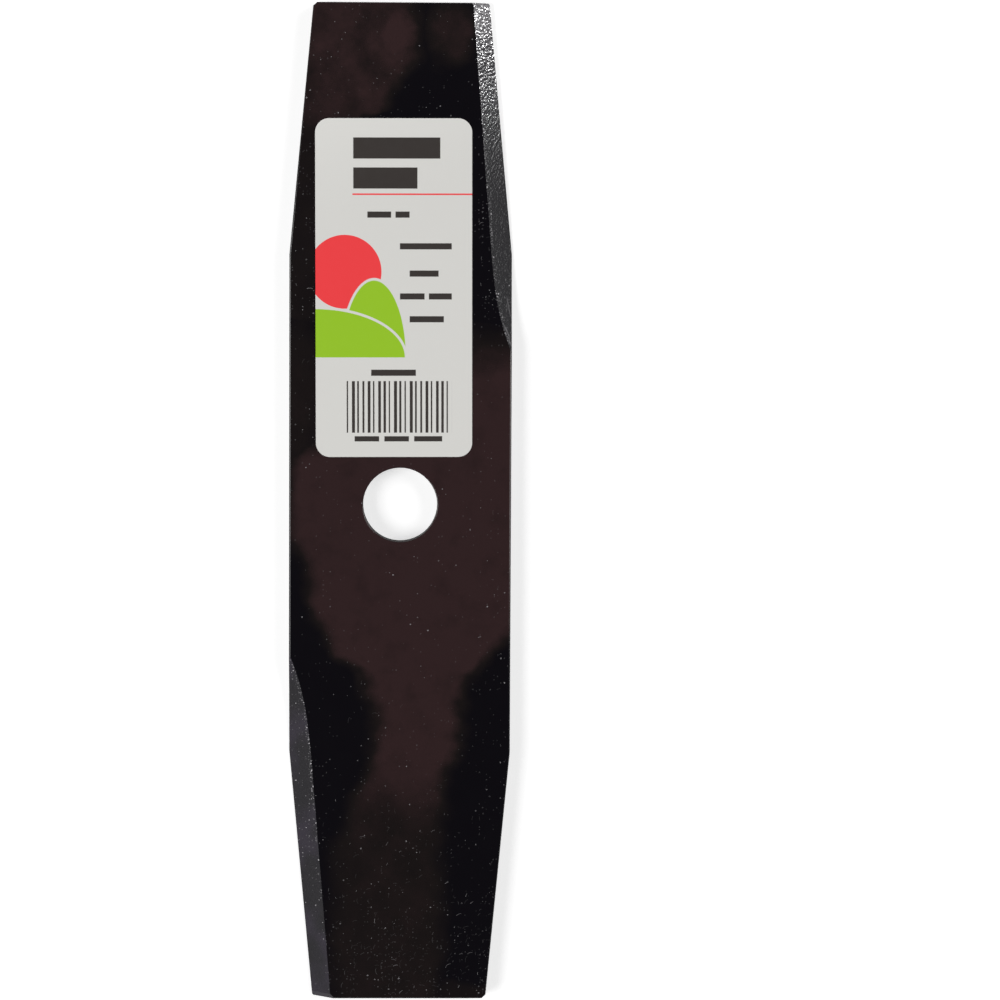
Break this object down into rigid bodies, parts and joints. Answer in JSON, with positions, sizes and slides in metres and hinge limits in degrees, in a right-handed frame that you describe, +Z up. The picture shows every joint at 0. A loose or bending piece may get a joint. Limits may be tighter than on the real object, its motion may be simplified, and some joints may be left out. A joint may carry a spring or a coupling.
{
  "type": "lawn edger blade",
  "caption": "Flat steel cutting blade for a lawn edger, with a central spindle hole, tapered ends, a ground bevel on each leading side and a paper label on its face.",
  "frame": {"origin": "centre of the spindle hole, on the back face that the blade lies on", "axes": "+X across the blade, +Y along it towards the labelled end, +Z up through its thickness, out of the bevelled face"},
  "size_m": [0.0508, 0.2286, 0.0049],
  "materials": {
    "black_paint": "gloss black paint over steel, rougher on the ground bevels",
    "printed_paper": "coated paper with plain printed fields of dark grey, green and red"
  },
  "bodies": {
    "root": {"blade": "black_paint", "label": "printed_paper"}
  },
  "joints": []
}
